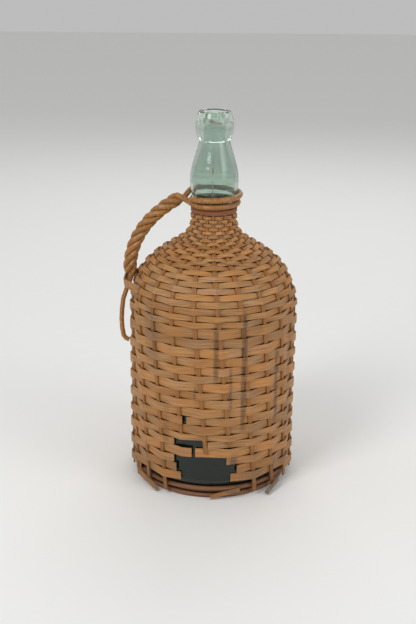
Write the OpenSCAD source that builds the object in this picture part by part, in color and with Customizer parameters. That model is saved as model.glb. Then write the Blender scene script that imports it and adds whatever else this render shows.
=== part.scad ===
// Glass demijohn covered in woven wood splint, with a twisted rod handle on its shoulder.
// Millimetres. The origin is on the floor under the bottle's axis, +Z is up,
// the worn front faces -Y and the handle stands toward -X.

/* [Glass body] */
// Diameter of the glass body
body_d = 176.4; // [165:0.2:190]
// Height of the straight wall's top above the floor
wall_top = 199.3; // [185:0.1:215]
// Radius of the rounded shoulder
shoulder_r = 66.5; // [50:0.5:72]
// Slope of the shoulder, measured from upright
shoulder_slope = 58; // [50:1:64]
// Radius of the hollow curve from shoulder to neck
neck_root_r = 31; // [24:0.5:36]
// Radius of the heel, where the wall turns into the base
heel_r = 22; // [16:0.5:26]
// Thickness of the glass wall
wall_t = 3.2; // [2.4:0.1:4.5]
// Thickness of the glass base
base_t = 5; // [3.5:0.5:8]
// Height of the push-up under the base
push_up_h = 13; // [6:0.5:18]
// Radius of the push-up under the base
push_up_r = 52; // [40:1:58]

/* [Glass neck] */
// Diameter of the neck under the splint
neck_d = 40.6; // [37:0.2:44]
// Diameter of the neck's bulb
bulb_d = 52.2; // [47:0.2:56]
// Height of the bulb's widest part above the neck's foot
bulb_h = 39.3; // [36:0.1:44]
// Diameter of the groove under the lip
groove_d = 32.2; // [30:0.2:35]
// Height of the groove above the bulb's widest part
groove_h = 43.3; // [38:0.1:48]
// Diameter of the lip
lip_d = 41.4; // [38:0.2:45]
// Height of the lip above the groove
lip_h = 31.7; // [28:0.1:36]
// Diameter of the mouth, which takes the cork
mouth_d = 23; // [19:0.5:25]
// Length of the straight part of the mouth
mouth_l = 28; // [20:0.5:29]
// Thickness of the glass in the neck
neck_t = 2.8; // [2:0.1:3.6]

/* [Stakes] */
// Number of upright stakes, an even number
stakes_n = 22; // [18:2:24]
// Width of a stake on the body
stake_w = 4.4; // [3.4:0.2:5.4]
// Thickness of a stake on the body
stake_t = 1.5; // [1:0.1:2]
// Part of that thickness that a stake keeps at the neck
stake_thin = 0.65; // [0.5:0.05:1]
// Most of its share of the round that a stake covers
stake_fill = 0.33; // [0.25:0.01:0.38]
// Angle of the first stake at the floor, 0 at the front
stake_angle = -0.95; // [-8:0.05:8]
// Lean of the stakes, in degrees for each millimetre of height
stake_lean = 0.058; // [0:0.002:0.08]
// Height of the stakes' lower ends above the floor
stake_foot = 6; // [4:0.5:10]

/* [Woven splints] */
// Thickness of a woven splint
splint_t = 1; // [0.7:0.1:1.3]
// Gap between one splint and the next above it
splint_gap = 0.7; // [0.5:0.1:1.2]
// Height of the lowest splint's lower edge
weave_foot = 12; // [11:0.5:16]
// Height of the wall's top splint above the straight wall
weave_step = 20.2; // [12:0.2:26]
// Number of splints on the shoulder
shoulder_n = 20; // [14:1:22]
// Width of the highest shoulder splint, as part of the lowest one's
shoulder_narrowing = 0.6; // [0.45:0.05:1]

/* [Handle and collar] */
// Diameter of a handle rod
rod_d = 6.2; // [5:0.1:6.6]
// Distance of each rod from the middle of the twist
twist_r = 4.6; // [4.5:0.1:5.2]
// Turns of the twist between foot and neck
twist_turns = 2.25; // [1.25:1:3.25]
// Reach of the handle from the bottle's axis
handle_reach = 91.8; // [90:0.2:98]
// Height of the handle's foot above the straight wall's top
handle_foot = 35; // [32:0.5:38]
// Height of the handle's outer corner above its foot
handle_corner = 51; // [44:1:58]
// Distance of the handle's upper end from the axis
handle_root = 37; // [35.5:0.5:40]
// Height of the handle's upper end above the neck's foot
handle_rise = 21; // [19:0.5:23]
// Height of the bark binding round the stakes' tops
binding_h = 5; // [4:0.5:6]
// Thickness of the bark binding
binding_t = 1.4; // [1:0.1:2]
// Diameter of the loose end that runs down from the handle
tail_d = 5.2; // [4:0.1:6]

/* [Base] */
// Diameter of the rod that the basket stands on
foot_rod_d = 5.6; // [5:0.1:6.2]
// Diameter of the brown rods woven round the heel
heel_rod_d = 5; // [4:0.1:5.4]
// Thickness of the laths under the glass
lath_t = 2.6; // [2:0.1:3]
// Width of the laths under the glass
lath_w = 11; // [8:0.5:16]
// Number of laths in each layer under the glass
laths_n = 5; // [3:2:7]

/* [Fits] */
// Clearance between pieces that lie against each other
fit = 0.3; // [0.2:0.05:0.4]
// Clearance between a splint and a stake where they cross
weave_fit = 0.2; // [0.15:0.05:0.3]

/* [Hidden] */
// Widths of the wall's splints from the lowest up, as they were split by hand
wall_splints = [
    10, 10, 10.5, 9.5, 11, 8.5, 7.5, 10.5, 9.5, 10.5, 10,
    8.5, 11, 8, 9.5, 10, 11, 10.5, 11.5, 6.5, 6.5, 7
];
// Torn splints of the front: [number from the lowest, start and end of the missing part in degrees]
torn_splints = [
    [0, -62, 66], [1, -22, 13], [2, -25, 17], [3, -27, 10], [4, -14, -11.5], [5, -27, -3], [8, -20.5, -17.5]
];
// Broken stakes of the front: [number from the first, splints below the broken end]
broken_stakes = [[-1, 6.6], [0, 4.4], [1, 5.4]];

wall_n = len(wall_splints);
courses_n = wall_n + shoulder_n;
body_r = body_d / 2;
neck_r = neck_d / 2;
bulb_r = bulb_d / 2;
groove_r = groove_d / 2;
lip_r = lip_d / 2;
mouth_r = mouth_d / 2;
rod_r = rod_d / 2;
bore_margin = 1;

function lerp(a, b, t) = a + (b - a) * t;
function unit(v) = v / norm(v);
function total(v, n) = n == 0 ? 0 : v[n - 1] + total(v, n - 1);
function polar(r, angle, z) = [r * sin(angle), -r * cos(angle), z];
function bezier2(p, t) = (1 - t) * (1 - t) * p[0] + 2 * t * (1 - t) * p[1] + t * t * p[2];
function bezier3(p, t) =
    pow(1 - t, 3) * p[0] + 3 * t * pow(1 - t, 2) * p[1] + 3 * t * t * (1 - t) * p[2] + pow(t, 3) * p[3];
// A curve that leaves p0 along m0 and reaches p1 along m1
function hermite(p0, m0, p1, m1, t) = bezier3([p0, p0 + m0 / 3, p1 - m1 / 3, p1], t);

// The stack under the glass: the foot rod stands on a flat, and two layers of laths lie inside it
foot_flat = 0.5;
lath_lift = 0.6;
upper_lath_z = lath_lift + lath_t + fit;
glass_z = upper_lath_z + lath_t + fit;
foot_rod_r = foot_rod_d / 2;
heel_rod_r = heel_rod_d / 2;
heel_centre = [body_r - heel_r, glass_z + heel_r];
heel_reach = heel_r + fit + heel_rod_r;
function on_heel(angle) = heel_centre + heel_reach * [cos(angle), -sin(angle)];
upper_heel_rod = on_heel(42);
lower_heel_rod = on_heel(62);
foot_rod_z = foot_rod_r - foot_flat;
rods_apart = foot_rod_r + heel_rod_r + fit;
foot_rod_x = lower_heel_rod[0] + sqrt(max(1, pow(rods_apart, 2) - pow(lower_heel_rod[1] - foot_rod_z, 2)));

// The glass surface from the floor up: straight wall, shoulder arc, slope, hollow arc and neck.
// A point on it is found by the length s along it, and off is its height above the glass.
cone_drop = body_r - neck_r - (shoulder_r + neck_root_r) * (1 - cos(shoulder_slope));
cone_l = cone_drop / sin(shoulder_slope);
s_shoulder = wall_top;
s_cone = s_shoulder + shoulder_r * shoulder_slope * PI / 180;
s_hollow = s_cone + cone_l;
s_neck = s_hollow + neck_root_r * shoulder_slope * PI / 180;
cone_top = [
    neck_r + neck_root_r * (1 - cos(shoulder_slope)),
    wall_top + shoulder_r * sin(shoulder_slope) + cone_l * cos(shoulder_slope)
];
neck_z = cone_top[1] + neck_root_r * sin(shoulder_slope);

function slope_at(s) =
    s <= s_shoulder ? 0
    : s <= s_cone ? (s - s_shoulder) / shoulder_r * 180 / PI
    : s <= s_hollow ? shoulder_slope
    : s <= s_neck ? (s_neck - s) / neck_root_r * 180 / PI
    : 0;
function glass_point(s, off) = let (a = slope_at(s), n = off * [cos(a), sin(a)])
    s <= s_shoulder ? [body_r, s] + n
    : s <= s_cone ? [body_r - shoulder_r * (1 - cos(a)), wall_top + shoulder_r * sin(a)] + n
    : s <= s_hollow ? cone_top + (s_hollow - s) * [sin(a), -cos(a)] + n
    : s <= s_neck ? [neck_r + neck_root_r * (1 - cos(a)), neck_z - neck_root_r * sin(a)] + n
    : [neck_r, neck_z + s - s_neck] + n;

// Heights of the neck's parts
bulb_z = neck_z + bulb_h;
groove_z = bulb_z + groove_h;
rim_z = groove_z + lip_h;

// The neck's outline above the splint, as curves from the neck's foot to the rim
neck_lower = [[neck_r, neck_z + 1], [neck_r, neck_z + 19], [bulb_r, bulb_z - 15], [bulb_r, bulb_z]];
neck_upper = [[bulb_r, bulb_z], [bulb_r, bulb_z + 15], [groove_r + 5.4, groove_z - 20], [groove_r, groove_z]];
lip_lower = [
    [groove_r + 1, groove_z + 1], [lip_r - 1.4, groove_z + 3.6],
    [lip_r + 0.2, groove_z + 9.5], [lip_r, groove_z + 15.2]
];
lip_upper = [
    [lip_r, groove_z + 15.2], [lip_r - 0.1, groove_z + 20.5],
    [lip_r - 1.8, rim_z - 4.5], [lip_r - 3.6, rim_z - 1.6]
];
rim = [[lip_r - 3.6, rim_z - 1.6], [lip_r - 4.6, rim_z - 0.1], [mouth_r + 2.6, rim_z + 0.3], [mouth_r, rim_z - 1.6]];
// The inside follows the outside a wall's thickness within, up to the straight mouth
mouth_foot = rim_z - 1.6 - mouth_l;
neck_lower_in = [for (p = neck_lower) p - [neck_t, 0]];
neck_upper_in = [
    [bulb_r - neck_t, bulb_z], [bulb_r - neck_t, bulb_z + 15],
    [mouth_r + 4, mouth_foot - 18], [mouth_r, mouth_foot]
];
function curve_steps(p, n) = [for (i = [1:n]) bezier3(p, i / n)];

// An arc that rises from height z at radius r to the axis
function dome(r, h, z, n) = let (big = (r * r + h * h) / (2 * h))
    [for (i = [0:n]) let (x = r * i / n) [x, z + h - big + sqrt(big * big - x * x)]];

shoulder_steps = 10;
hollow_steps = 6;
outside = concat(
    dome(push_up_r, push_up_h, glass_z, 6),
    [for (a = [0:15:90]) heel_centre + heel_r * [sin(a), -cos(a)]],
    [for (i = [0:shoulder_steps]) glass_point(lerp(s_shoulder, s_cone, i / shoulder_steps), 0)],
    [for (i = [0:hollow_steps]) glass_point(lerp(s_hollow, s_neck, i / hollow_steps), 0)],
    [neck_lower[0]], curve_steps(neck_lower, 7), curve_steps(neck_upper, 8),
    [lip_lower[0]], curve_steps(lip_lower, 6), curve_steps(lip_upper, 5), curve_steps(rim, 6)
);
heel_in_r = heel_r - wall_t;
inside_z = glass_z + base_t;
inside = concat(
    dome(push_up_r, push_up_h, inside_z, 6),
    [for (a = [0:15:90]) [heel_centre[0], inside_z + heel_in_r] + heel_in_r * [sin(a), -cos(a)]],
    [for (i = [0:shoulder_steps]) glass_point(lerp(s_shoulder, s_cone, i / shoulder_steps), -wall_t)],
    [for (i = [0:hollow_steps]) glass_point(lerp(s_hollow, s_neck, i / hollow_steps),
        -lerp(wall_t, neck_t, i / hollow_steps))],
    [neck_lower_in[0]], curve_steps(neck_lower_in, 7), curve_steps(neck_upper_in, 8)
);
function reversed(v) = [for (i = [len(v) - 1:-1:0]) v[i]];

// Widest the glass gets between two heights of the neck's lower curve
function glass_r(z) = lookup(z, [for (i = [0:12]) let (p = bezier3(neck_lower, i / 12)) [p[1], p[0]]]);

// The weave. Stakes stand between the splints' inner and outer passes, which cross between them.
// Where the round is small a splint crosses steeply, so its passes lie further from the stake.
stack_t = splint_t + stake_t + 2 * weave_fit;
stake_spacing = 360 / stakes_n;
function stake_at(k, z) = stake_angle + k * stake_spacing - stake_lean * z;
function thickness_at(r) = stake_t * lerp(stake_thin, 1, (r - neck_r) / (body_r - neck_r));
function share_at(r) = 2 * PI * (r + stack_t) / stakes_n;
function width_at(r) = min(stake_w, stake_fill * share_at(r));
// [height of the inner pass's splint, rise to the outer pass, height of the stake] above the glass
function passes(s) = let (
    r = glass_point(s, 0)[0],
    lean_w = stake_lean * PI / 180 * r * 11,
    f = (width_at(r) + lean_w) / 2 / share_at(r),
    bow = 4 * (r + stack_t) * (1 - cos(stake_spacing / 2)) * f * (1 - f),
    flat_bow = bow * cos(slope_at(s)),
    stack = splint_t + thickness_at(r) + 2 * weave_fit,
    rise = max(stack / (1 - 2 * f), (stack + bow) / (1 - f))
) [fit, rise, fit + splint_t + weave_fit + max(0, f * rise - flat_bow)];
function weave_off(s) = let (p = passes(s)) p[0] + p[1] + splint_t;

// Lengths along the surface where each splint starts and ends
wall_weave = wall_top + weave_step - weave_foot;
wall_scale = wall_weave / total(wall_splints, wall_n);
s_wall_end = wall_top + weave_step;
binding_s = s_neck + 6.5;
s_weave_end = binding_s - 0.6;
shoulder_first = 2 * (s_weave_end - s_wall_end) / (shoulder_n * (1 + shoulder_narrowing));
function shoulder_width(j) = shoulder_first * lerp(1, shoulder_narrowing, j / (shoulder_n - 1));
shoulder_widths = [for (j = [0:shoulder_n - 1]) shoulder_width(j)];
function course_start(i) = i <= wall_n
    ? weave_foot + wall_scale * total(wall_splints, i)
    : s_wall_end + total(shoulder_widths, i - wall_n);
function course_name(i) = str("splint_", i < 9 ? "0" : "", i + 1);

// Joins sections of equal point counts into one closed skin
module skin(sections, closed = false) {
    n = len(sections);
    m = len(sections[0]);
    points = [for (s = sections) each s];
    last = closed ? n - 1 : n - 2;
    sides = [
        for (i = [0:last], j = [0:m - 1])
        let (a = i * m, b = (i + 1) % n * m, k = (j + 1) % m)
        each [[a + j, a + k, b + k], [a + j, b + k, b + j]]
    ];
    ends = closed ? [] : [
        for (j = [1:m - 2]) each [
            [0, j + 1, j],
            [(n - 1) * m, (n - 1) * m + j, (n - 1) * m + j + 1]
        ]
    ];
    polyhedron(points, concat(sides, ends));
}

// A round rod along a path, with its radius at each point
module rod(path, radii, sides = 8) {
    n = len(path);
    ways = [for (i = [0:n - 1]) unit(path[min(i + 1, n - 1)] - path[max(i - 1, 0)])];
    first = unit(cross(ways[0], [0.31, 0.87, 0.38]));
    across = [
        for (i = 0, v = first; i < n; i = i + 1,
            v = i < n ? unit(v - (v * ways[i]) * ways[i]) : v) v
    ];
    skin([
        for (i = [0:n - 1]) let (u = across[i], w = cross(ways[i], u))
        [for (j = [0:sides - 1]) let (a = -360 * j / sides) path[i] + radii[i] * (cos(a) * u + sin(a) * w)]
    ]);
}

// One woven splint. It goes round as a closed hoop, or from one torn end to the other.
function torn_part(i) = [for (t = torn_splints) if (t[0] == i) [t[1], t[2]]];
function course_section(i, angle, pass) = let (
    s0 = course_start(i), s1 = course_start(i + 1) - splint_gap, p = passes((s0 + s1) / 2),
    low = p[0] + pass * p[1], high = low + splint_t,
    corners = [glass_point(s0, low), glass_point(s0, high), glass_point(s1, high), glass_point(s1, low)]
) [for (c = corners) polar(c[0], angle, c[1])];
// 1 where the splint passes outside a stake, 0 where it passes inside, by its angle in stakes
function pass_at(i, turns) = let (u = (turns + i) % 2, v = u < 0 ? u + 2 : u) 1 - abs(v - 1);

module splint(i) {
    z = glass_point((course_start(i) + course_start(i + 1)) / 2, 0)[1];
    first = stake_at(0, z);
    torn = torn_part(i);
    color(i < wall_n ? "#C08A50" : "#CC9A60")
    if (len(torn) == 0)
        skin([for (k = [0:stakes_n - 1]) course_section(i, first + k * stake_spacing, pass_at(i, k))], true);
    else {
        start = (torn[0][1] - first) / stake_spacing;
        end = (torn[0][0] + 360 - first) / stake_spacing;
        turns = concat([start], [for (k = [ceil(start + 0.1):floor(end - 0.1)]) k], [end]);
        skin([for (t = turns) course_section(i, first + t * stake_spacing, pass_at(i, t))]);
    }
}

// The upright stakes, some of them broken off above the torn splints
function stake_start(k) = let (
    found = [for (b = broken_stakes) if ((b[0] + stakes_n) % stakes_n == k) b[1]]
) len(found) == 0 ? stake_foot : let (i = floor(found[0]))
    lerp(course_start(i), course_start(i + 1), found[0] - i);
stake_top = binding_s + binding_h;
function stake_stations(s0) = concat(
    [for (i = [0:3]) lerp(s0, s_shoulder, i / 4)],
    [for (i = [0:6]) lerp(s_shoulder, s_cone, i / 7)],
    [s_cone],
    [for (i = [0:5]) lerp(s_hollow, s_neck, i / 6)],
    [s_neck, stake_top]
);
module stake(k) {
    skin([
        for (s = stake_stations(stake_start(k)))
        let (
            low = passes(s)[2],
            r = glass_point(s, 0)[0],
            angle = stake_at(k, glass_point(s, 0)[1]),
            a = glass_point(s, low),
            b = glass_point(s, low + thickness_at(r)),
            side = width_at(r) / 2 * [cos(angle), sin(angle), 0]
        )
        [
            polar(a[0], angle, a[1]) - side, polar(a[0], angle, a[1]) + side,
            polar(b[0], angle, b[1]) + side, polar(b[0], angle, b[1]) - side
        ]
    ]);
}
module stakes() {
    color("#B98348")
    for (k = [0:stakes_n - 1]) stake(k);
}

// The bottle is blown in one piece: body, shoulder, bulbed neck and lip
module glass_bottle() {
    color("#5E8A78", 0.6)
    difference() {
        rotate_extrude($fn = 96) polygon(concat(outside, [[0, rim_z - 1.6]]));
        rotate_extrude($fn = 96) polygon(concat(inside, [[0, mouth_foot]]));
        translate([0, 0, mouth_foot - 0.01])
            cylinder(h = mouth_l + bore_margin + 2, r = mouth_r, $fn = 64);
    }
}

// A strip of bark wound round the tops of the stakes
binding_in = neck_r + passes(stake_top)[2] + thickness_at(neck_r) + fit;
module bark_binding() {
    color("#8C4B2D")
    translate([0, 0, glass_point(binding_s, 0)[1]])
        rotate_extrude($fn = 96)
        translate([binding_in, 0])
        polygon([
            [0, 0], [binding_t - 0.5, 0], [binding_t, 0.9], [binding_t, binding_h - 0.9],
            [binding_t - 0.5, binding_h], [0, binding_h]
        ]);
}
binding_top = glass_point(binding_s, 0)[1] + binding_h;

// The handle's middle line leaves the neck, drops outward and stands upright at its foot
handle_line = [
    [-handle_root, 0, neck_z + handle_rise],
    [-handle_reach, 0, wall_top + handle_foot + handle_corner],
    [-handle_reach, 0, wall_top + handle_foot]
];
handle_steps = 26;
handle_points = [for (i = [0:handle_steps]) bezier2(handle_line, i / handle_steps)];
handle_lengths = [
    for (i = 0, d = 0; i <= handle_steps; i = i + 1,
        d = i <= handle_steps ? d + norm(handle_points[i] - handle_points[i - 1]) : d) d
];
function handle_way(i) = unit(
    handle_points[min(i + 1, handle_steps)] - handle_points[max(i - 1, 0)]);
// A point on a rod of the twist, whose turn starts at phase: 0 is outward, 90 the front
function twist_point(phase, i) = let (
    way = handle_way(i), out = cross(way, [0, 1, 0]),
    a = phase + 360 * twist_turns * handle_lengths[i] / handle_lengths[handle_steps]
) handle_points[i] + twist_r * (cos(a) * out + sin(a) * [0, -1, 0]);
function twist(phase) = [for (i = [0:handle_steps]) twist_point(phase, i)];

// The collar: the twist's ends wound round the neck just under the bulb, by angle from the handle
function collar(angle, z, extra = 0) =
    let (r = glass_r(z + 2) + rod_r + fit + extra) [-r * cos(angle), r * sin(angle), z];
lower_collar_z = binding_top + fit + rod_r + 0.4;
upper_collar_z = lower_collar_z + rod_d + 0.9;
collar_tilt = 5.5;

// A bend of even steps between the twist's upper end and the collar
function bend(p0, m0, p1, m1, n) = [for (i = [1:n - 1]) hermite(p0, m0, p1, m1, i / n)];

// A point between the splints' outside and a rod that lies on them
function on_weave(z, y, r, extra = 0) =
    let (x = glass_point(z, weave_off(z))[0] + fit + r + extra) [-sqrt(x * x - y * y), y, z];
strap_w = 8.6;
strap_z = course_start(wall_n) + 0.4;
foot_y = twist_r * sin(45);

// First rod: from the foot up the twist, behind the neck and round to the front
first_foot = [
    on_weave(strap_z - 0.5, -foot_y, rod_r, 0.2),
    on_weave(strap_z + strap_w / 2, -foot_y, rod_r, 0.8)
];
first_twist = reversed(twist(-45));
first_start = first_twist[handle_steps];
function first_collar(angle) =
    collar(angle, upper_collar_z + collar_tilt * (1 - (angle - 40) / 280));
first_path = concat(
    first_foot, first_twist,
    bend(first_start, [16, 3, 7], first_collar(40), 26 * [sin(40), cos(40), -0.05], 4),
    [for (a = [40:14:320]) first_collar(a)],
    [first_collar(320) + 7 * [-sin(40), cos(40) * 0.55, -0.05]]
);
module handle_rod_1() {
    color("#BE8C50") rod(first_path, [for (p = first_path) rod_r]);
}

// Second rod: from the foot's inner side up the twist and round the neck under the first
second_twist = reversed(twist(135));
second_start = second_twist[handle_steps];
function second_collar(angle) = collar(angle, lower_collar_z + 3 * (308 - angle) / 280);
second_path = concat(
    second_twist,
    bend(second_start, [14, -6, -1], second_collar(308), 26 * [-sin(308), -cos(308), 0], 4),
    [for (a = [308:-14:28]) second_collar(a)]
);
module handle_rod_2() {
    color("#BE7D41") rod(second_path, [for (p = second_path) rod_r]);
}

// Third rod: only in the twist
third_path = reversed(twist(45));
module handle_rod_3() {
    color("#C89656") rod(third_path, [for (p = third_path) rod_r]);
}

// Fourth rod: in the twist, and below the strap its thinner end hangs down the side and is tucked in
tail_r = tail_d / 2;
tail_low = s_wall_end - 66;
tail_points = [
    on_weave(tail_low, 0, 0.4),
    on_weave(tail_low + 1.6, 0, tail_r, 1.4),
    on_weave(tail_low + 5, 0, tail_r, 4.0),
    on_weave(tail_low + 14, 0, tail_r, 5.4),
    on_weave(tail_low + 25, 0, tail_r, 5.9),
    on_weave(tail_low + 36, 0, tail_r, 5.2),
    on_weave(tail_low + 48, 1, tail_r, 3.8),
    on_weave(tail_low + 58, foot_y * 0.8, tail_r, 1.6)
];
fourth_foot = [
    on_weave(strap_z - 0.5, foot_y, rod_r, 0.2),
    on_weave(strap_z + strap_w / 2, foot_y, rod_r, 0.8)
];
fourth_path = concat(tail_points, fourth_foot, reversed(twist(-135)));
fourth_radii = [for (i = [0:len(fourth_path) - 1]) i < len(tail_points) ? tail_r : rod_r];
module handle_rod_4() {
    color("#C08A4C") rod(fourth_path, fourth_radii);
}

// The splint strap that holds the handle's foot against the weave
strap_low = glass_point(strap_z, weave_off(strap_z))[0] + 2 * fit + rod_d + 0.4;
strap_high = strap_low + 0.9;
strap_angles = [-26, -16, -6.5, 6.5, 16, 26];
strap_lift = [0, 0.42, 1, 1, 0.42, 0];
function strap_section(k) = let (
    rest_low = glass_point(strap_z, weave_off(strap_z))[0] + fit,
    rest_high = glass_point(strap_z + strap_w, weave_off(strap_z + strap_w))[0] + fit,
    low = lerp(rest_low, strap_low, strap_lift[k]),
    high = lerp(rest_high, strap_high, strap_lift[k])
) [
    polar(low, strap_angles[k] - 90, strap_z),
    polar(low + splint_t, strap_angles[k] - 90, strap_z),
    polar(high + splint_t, strap_angles[k] - 90, strap_z + strap_w),
    polar(high, strap_angles[k] - 90, strap_z + strap_w)
];
module handle_strap() {
    color("#B4783E") skin([for (k = [0:len(strap_angles) - 1]) strap_section(k)]);
}

// A rod laid round the heel as a hoop
module hoop(x, z, r) {
    rotate_extrude($fn = 96) translate([x, z]) circle(r = r, $fn = 32);
}

// The rod that the basket stands on, worn flat underneath
module foot_rod() {
    color("#5A3A28")
    difference() {
        hoop(foot_rod_x, foot_rod_z, foot_rod_r);
        translate([0, 0, -foot_rod_r])
            cylinder(h = foot_rod_r, r = foot_rod_x + foot_rod_d, $fn = 64);
    }
}
module heel_rod_lower() {
    color("#4E3226") hoop(lower_heel_rod[0], lower_heel_rod[1], heel_rod_r);
}
module heel_rod_upper() {
    color("#5C3E2E") hoop(upper_heel_rod[0], upper_heel_rod[1], heel_rod_r);
}

// One layer of laths under the glass, cut off inside the rods
module laths(r, z) {
    pitch = 2 * r / (laths_n + 0.4);
    translate([0, 0, z])
    intersection() {
        cylinder(h = lath_t, r = r, $fn = 96);
        for (i = [0:laths_n - 1])
            translate([-r, (i - (laths_n - 1) / 2) * pitch - lath_w / 2, 0])
                cube([2 * r, lath_w, lath_t]);
    }
}
module base_laths_lower() {
    color("#A87442") laths(foot_rod_x - foot_rod_r - fit, lath_lift);
}
module base_laths_upper() {
    color("#A06C3C") rotate([0, 0, 90]) laths(lower_heel_rod[0] - heel_rod_r - fit, upper_lath_z);
}

// A flat strip from one point to another, standing on edge
module strip(p, q, width, thickness) {
    d = q - p;
    turn = atan2(d[1], d[0]);
    tilt = -asin(d[2] / norm(d));
    translate(p) rotate([0, tilt, turn])
        translate([0, -thickness / 2, -width / 2]) cube([norm(d), thickness, width]);
}
loose_r = upper_heel_rod[0] + heel_rod_r + 1.9 + fit;
module loose_splint() {
    color("#B07A48") strip(polar(loose_r, -1, 4), polar(loose_r, 20, 10.5), 5, 1.1);
}
hanging_r = body_r + weave_off(weave_foot) + fit + 0.4;
module hanging_splint() {
    color("#A8743F") strip(polar(hanging_r, -62, 12.5), polar(hanging_r, -40, 4.8), 7, 1.2);
}
module grey_twig() {
    start = polar(body_r + weave_off(weave_foot), 52, 9);
    end = polar(body_r + weave_off(weave_foot) + 5.3, 38, 3.6);
    d = end - start;
    color("#6E5A4C")
    translate(start) rotate([0, acos(d[2] / norm(d)), atan2(d[1], d[0])])
        cylinder(h = norm(d), r = 2.2, $fn = 24);
}

glass_bottle();
stakes();
bark_binding();
handle_rod_1();
handle_rod_2();
handle_rod_3();
handle_rod_4();
handle_strap();
foot_rod();
heel_rod_lower();
heel_rod_upper();
base_laths_lower();
base_laths_upper();
loose_splint();
hanging_splint();
grey_twig();
for (i = [0:courses_n - 1]) splint(i);
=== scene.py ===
"""A glass demijohn in a worn cover of woven wood splint, with a twisted rod handle. Metres."""
import math

import bpy
from mathutils import Matrix, Vector

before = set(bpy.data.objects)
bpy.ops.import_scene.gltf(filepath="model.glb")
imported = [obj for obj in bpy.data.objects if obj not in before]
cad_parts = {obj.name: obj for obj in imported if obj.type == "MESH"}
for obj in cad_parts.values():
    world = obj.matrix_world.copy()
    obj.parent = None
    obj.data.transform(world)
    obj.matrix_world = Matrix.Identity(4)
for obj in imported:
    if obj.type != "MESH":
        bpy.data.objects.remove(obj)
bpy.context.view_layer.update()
MM = 0.001

# The camera: a 60 mm lens on the photo's long side, 1.1 m away, looking down 19 degrees
CAMERA_PLACE = (-5.575 * MM, -1096.4 * MM, 564.2 * MM)
CAMERA_PITCH = 71
CAMERA_ROLL = 0.45
scene = bpy.context.scene
scene.view_settings.view_transform = "Standard"
camera_data = bpy.data.cameras.new("camera")
camera_data.lens = 60
camera_data.sensor_width = 36
camera = bpy.data.objects.new("camera", camera_data)
scene.collection.objects.link(camera)
camera.matrix_world = (
    Matrix.Translation(CAMERA_PLACE)
    @ Matrix.Rotation(math.radians(CAMERA_PITCH), 4, "X")
    @ Matrix.Rotation(math.radians(CAMERA_ROLL), 4, "Z")
)
scene.camera = camera

DEGREES_IN_RADIAN = 57.29578
RADIANS_IN_DEGREE = 0.0174533
MM_IN_METRE = 1000


def linear(code):
    """An sRGB hex colour as linear values with alpha."""
    parts = [int(code[i : i + 2], 16) / 255 for i in (1, 3, 5)]
    return [c / 12.92 if c <= 0.04045 else ((c + 0.055) / 1.055) ** 2.4 for c in parts] + [1]


def add(tree, kind, sockets=None, **settings):
    """Adds a node, sets its properties, and sets or links its inputs."""
    made = tree.nodes.new(kind)
    for key, value in settings.items():
        setattr(made, key, value)
    for key, value in (sockets or {}).items():
        if isinstance(value, bpy.types.NodeSocket):
            tree.links.new(value, made.inputs[key])
        else:
            made.inputs[key].default_value = value
    return made


def maths(tree, how, a, b=0.0, c=0.0):
    return add(tree, "ShaderNodeMath", {0: a, 1: b, 2: c}, operation=how).outputs[0]


def mixed(tree, share, a, b, how="MIX"):
    """Colour a turned into colour b by a share."""
    return add(tree, "ShaderNodeMix", {0: share, 6: a, 7: b}, data_type="RGBA",
               blend_type=how).outputs[2]


def ramp(tree, value, low, high, out_low=0.0, out_high=1.0):
    """A value that goes from out_low at low to out_high at high, and stays there."""
    return add(tree, "ShaderNodeMapRange",
               {0: value, 1: low, 2: high, 3: out_low, 4: out_high}).outputs[0]


def noise(tree, place, scale, detail, **more):
    return add(tree, "ShaderNodeTexNoise",
               {"Vector": place, "Scale": scale, "Detail": detail, **more}).outputs[0]


def object_place(tree):
    return add(tree, "ShaderNodeTexCoord").outputs["Object"]


def round_coords(tree):
    """Angle round the axis in degrees (0 at the front, + toward +X), radius and height in mm."""
    x, y, z = add(tree, "ShaderNodeSeparateXYZ", {0: object_place(tree)}).outputs
    turned = maths(tree, "ARCTAN2", x, maths(tree, "MULTIPLY", y, -1))
    squares = maths(tree, "ADD", maths(tree, "POWER", x, 2), maths(tree, "POWER", y, 2))
    return (maths(tree, "MULTIPLY", turned, DEGREES_IN_RADIAN),
            maths(tree, "MULTIPLY", maths(tree, "SQRT", squares), MM_IN_METRE),
            maths(tree, "MULTIPLY", z, MM_IN_METRE))


def spot(tree, angle, height, centre, half_angle, low, high, soft=6.0):
    """1 inside a patch of angle and height, falling softly to 0 outside it."""
    aside = maths(tree, "ABSOLUTE", maths(tree, "SUBTRACT", angle, centre))
    across = ramp(tree, aside, half_angle * 0.4, half_angle, 1, 0)
    above = ramp(tree, height, low - soft, low + soft)
    below = ramp(tree, height, high - soft, high + soft, 1, 0)
    return maths(tree, "MULTIPLY", across, maths(tree, "MULTIPLY", above, below))


def new_tree(name):
    """A new material and its empty node tree."""
    made = bpy.data.materials.new(name)
    made.use_nodes = True
    made.node_tree.nodes.clear()
    return made, made.node_tree


def surface(tree, **sockets):
    shader = add(tree, "ShaderNodeBsdfPrincipled",
                 {key.replace("_", " "): value for key, value in sockets.items()})
    add(tree, "ShaderNodeOutputMaterial", {"Surface": shader.outputs[0]})


# Marks on the front of the cover: angle, half width, lowest and highest (mm), and strength
STAINS = [
    (2, 2.2, 141, 201, 0.75), (21, 2.4, 84, 216, 0.8), (12, 1.6, 106, 156, 0.6),
    (49, 2.6, 84, 166, 0.8), (48, 2.4, 24, 38, 0.8), (-12, 1.2, 120, 132, 0.7),
    (-12, 1.2, 150, 158, 0.6), (-46, 9, 146, 216, 0.35), (31, 5, 194, 204, 0.45),
    (15, 3.5, 38, 52, 0.85), (-33, 3, 60, 110, 0.3), (66, 4, 60, 180, 0.35),
]
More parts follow.
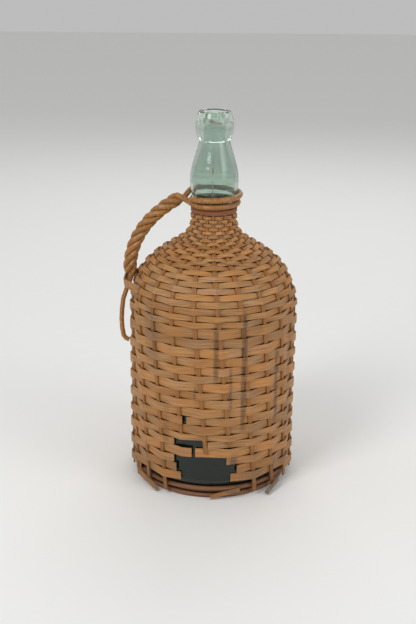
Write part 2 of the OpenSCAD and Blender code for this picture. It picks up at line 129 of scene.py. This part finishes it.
# Noise waves to a millimetre round the axis, a shift for each piece, and waves up it
GRAIN = {"round": (0.045, 1.0, 2.2), "up": (2.2, 1.0, 0.045), "any": (0.8, 0.8, 0.25)}
PATCH_ROUND, PATCH_UP = 0.035, 0.06


def add_stains_and_low_darkening(tree, colour, angle, height, grain_at, patch):
    """Dark marks that break up along the grain, and a darkening in patches that fades up from the
    foot.
    """
    marks = 0.0
    for centre, half, low, high, strength in STAINS:
        here = spot(tree, angle, height, centre, half, low, high)
        marks = maths(tree, "MAXIMUM", marks, maths(tree, "MULTIPLY", here, strength))
    broken = ramp(tree, noise(tree, grain_at, 3.0, 3.0), 0.38, 0.52)
    colour = mixed(tree, maths(tree, "MULTIPLY", marks, broken), colour, linear("#3A2A20"))
    # Darker towards the foot, in patches, fading out by 80 mm up
    low_darkening = maths(tree, "MULTIPLY", ramp(tree, height, 20, 80, 0.45, 0.0),
                 ramp(tree, patch, 0.35, 0.6))
    return mixed(tree, low_darkening, colour, linear("#5A4030"))


def wood(name, base, dark, light, along="round", stained=False, rough=0.62, grey=0.0):
    """Split or peeled wood with its grain round the axis, up it, or with neither."""
    made, tree = new_tree(name)
    angle, radius, height = round_coords(tree)
    arc = maths(tree, "MULTIPLY", maths(tree, "MULTIPLY", angle, RADIANS_IN_DEGREE), radius)
    random = add(tree, "ShaderNodeObjectInfo").outputs["Random"]

    def stretched(waves_round, shift, waves_up):
        return add(tree, "ShaderNodeCombineXYZ", {
            0: maths(tree, "MULTIPLY", arc, waves_round),
            1: maths(tree, "MULTIPLY", random, shift),
            2: maths(tree, "MULTIPLY", height, waves_up)}).outputs[0]

    grain_at = stretched(GRAIN[along][0], 40, GRAIN[along][2])
    grain = noise(tree, grain_at, 1.0, 4.0, Roughness=0.6)
    patch = noise(tree, stretched(PATCH_ROUND, 9, PATCH_UP), 1.0, 3.0)
    colour = mixed(tree, ramp(tree, grain, 0.36, 0.66), linear(dark), linear(light))
    colour = mixed(tree, ramp(tree, patch, 0.3, 0.62, 0.75, 0.25), colour, linear(base))
    tone = maths(tree, "MULTIPLY_ADD", random, 0.34, 0.83)
    shade = add(tree, "ShaderNodeCombineColor", {0: tone, 1: tone, 2: tone}).outputs[0]
    colour = mixed(tree, 1.0, colour, shade, "MULTIPLY")
    if grey:
        weathered = maths(tree, "MULTIPLY", ramp(tree, patch, 0.45, 0.7), grey)
        colour = mixed(tree, weathered, colour, linear("#8F8473"))
    if stained:
        colour = add_stains_and_low_darkening(tree, colour, angle, height, grain_at, patch)
    bump = add(tree, "ShaderNodeBump", {"Height": grain, "Strength": 0.35, "Distance": 0.4 * MM})
    surface(tree, Base_Color=colour, Roughness=rough, Normal=bump.outputs[0])
    return made


NECK_CLEARS = (285, 312)


def glass():
    """Old bottle glass: aqua green in the neck, and painted shade making it almost black green
    through the full body inside the cover.
    """
    made, tree = new_tree("bottle_glass")
    angle, _, height = round_coords(tree)
    # Painted shade: below the neck the same glass is darkened where the cover encloses it
    colour = mixed(tree, ramp(tree, height, *NECK_CLEARS), linear("#16241A"), linear("#D6E6DC"))
    # A brown crack down the front of the neck, and a thin brown line of residue in the lip
    crack = spot(tree, angle, height, -4, 2.2, 318, 362, 8)
    residue = maths(tree, "MULTIPLY", ramp(tree, height, 395, 399),
                    ramp(tree, height, 400, 403, 1, 0))
    broken = ramp(tree, noise(tree, object_place(tree), 160.0, 3.0), 0.48, 0.58, 0, 0.8)
    marks = maths(tree, "MULTIPLY", maths(tree, "MAXIMUM", crack, residue), broken)
    colour = mixed(tree, marks, colour, linear("#7A4E2C"))
    # Less light through the glass below the neck, part of the painted shade inside the cover
    clear = maths(tree, "SUBTRACT", ramp(tree, height, *NECK_CLEARS, 0.35, 0.97),
                  maths(tree, "MULTIPLY", marks, 0.6))
    surface(tree, Base_Color=colour, Roughness=0.05, IOR=1.5, Transmission_Weight=clear)
    return made


# Split and dried hardwood, weathered to a yellow brown
SPLINT = wood("splint_wood", "#AE7438", "#6E3E18", "#D2A062", stained=True, grey=0.2, rough=0.5)
# The same wood in upright stakes, a little darker
STAKE = wood("stake_wood", "#96602A", "#5E3614", "#B8803F", "up", stained=True, rough=0.55)
# Peeled willow rod, worn smooth by the hand
HANDLE = wood("handle_wood", "#A06A30", "#643A18", "#C49050", "any", rough=0.38)
# Willow rod in the base, a darker brown
BASE_ROD = wood("base_rod_wood", "#7A5032", "#4A2E1C", "#A07048", "round", rough=0.6)
# Split bark, with its red brown outer side showing
BARK = wood("bark", "#8C4B2D", "#5A2C1A", "#A86A42", "round", rough=0.6)
# A dry weathered twig
GREY = wood("grey_twig_wood", "#7A6A58", "#4E4236", "#9A8C7A", "any", rough=0.75)
LOOK_OF = {
    "splint_": SPLINT, "base_laths": SPLINT, "handle_strap": SPLINT, "loose_splint": SPLINT,
    "hanging_splint": SPLINT, "handle_rod": HANDLE, "stakes": STAKE, "foot_rod": BASE_ROD,
    "heel_rod": BASE_ROD, "bark_binding": BARK, "grey_twig": GREY, "glass_bottle": glass(),
}
for name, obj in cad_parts.items():
    obj.data.materials.clear()
    obj.data.materials.append(next(LOOK_OF[start] for start in LOOK_OF if name.startswith(start)))

# A pale matt floor
floor_mesh = bpy.data.meshes.new("floor")
floor_mesh.from_pydata([(-6, -3, 0), (6, -3, 0), (6, 7, 0), (-6, 7, 0)], [], [[0, 1, 2, 3]])
floor = bpy.data.objects.new("floor", floor_mesh)
scene.collection.objects.link(floor)
pale, pale_tree = new_tree("pale_floor")
surface(pale_tree, Base_Color=linear("#F4F4F2"), Roughness=0.9)
floor_mesh.materials.append(pale)

# Soft studio light
world = bpy.data.worlds.new("studio")
scene.world = world
world.use_nodes = True
background = world.node_tree.nodes["Background"]
background.inputs[0].default_value = linear("#F6F6F6")
background.inputs[1].default_value = 0.55


def soft_light(name, place, target, size, power):
    data = bpy.data.lights.new(name, "AREA")
    data.shape = "RECTANGLE"
    data.size, data.size_y = size
    data.energy = power
    obj = bpy.data.objects.new(name, data)
    obj.location = place
    way = Vector(target) - Vector(place)
    obj.rotation_euler = way.to_track_quat("-Z", "Y").to_euler()
    scene.collection.objects.link(obj)


soft_light("key", (-0.9, -1.1, 1.5), (0, 0, 0.2), (0.6, 0.9), 13)
soft_light("fill", (1.3, -0.9, 1.1), (0, 0, 0.2), (0.8, 1.1), 6)
soft_light("back", (0.2, 1.5, 1.5), (0, 0, 0.25), (1.4, 0.9), 8)
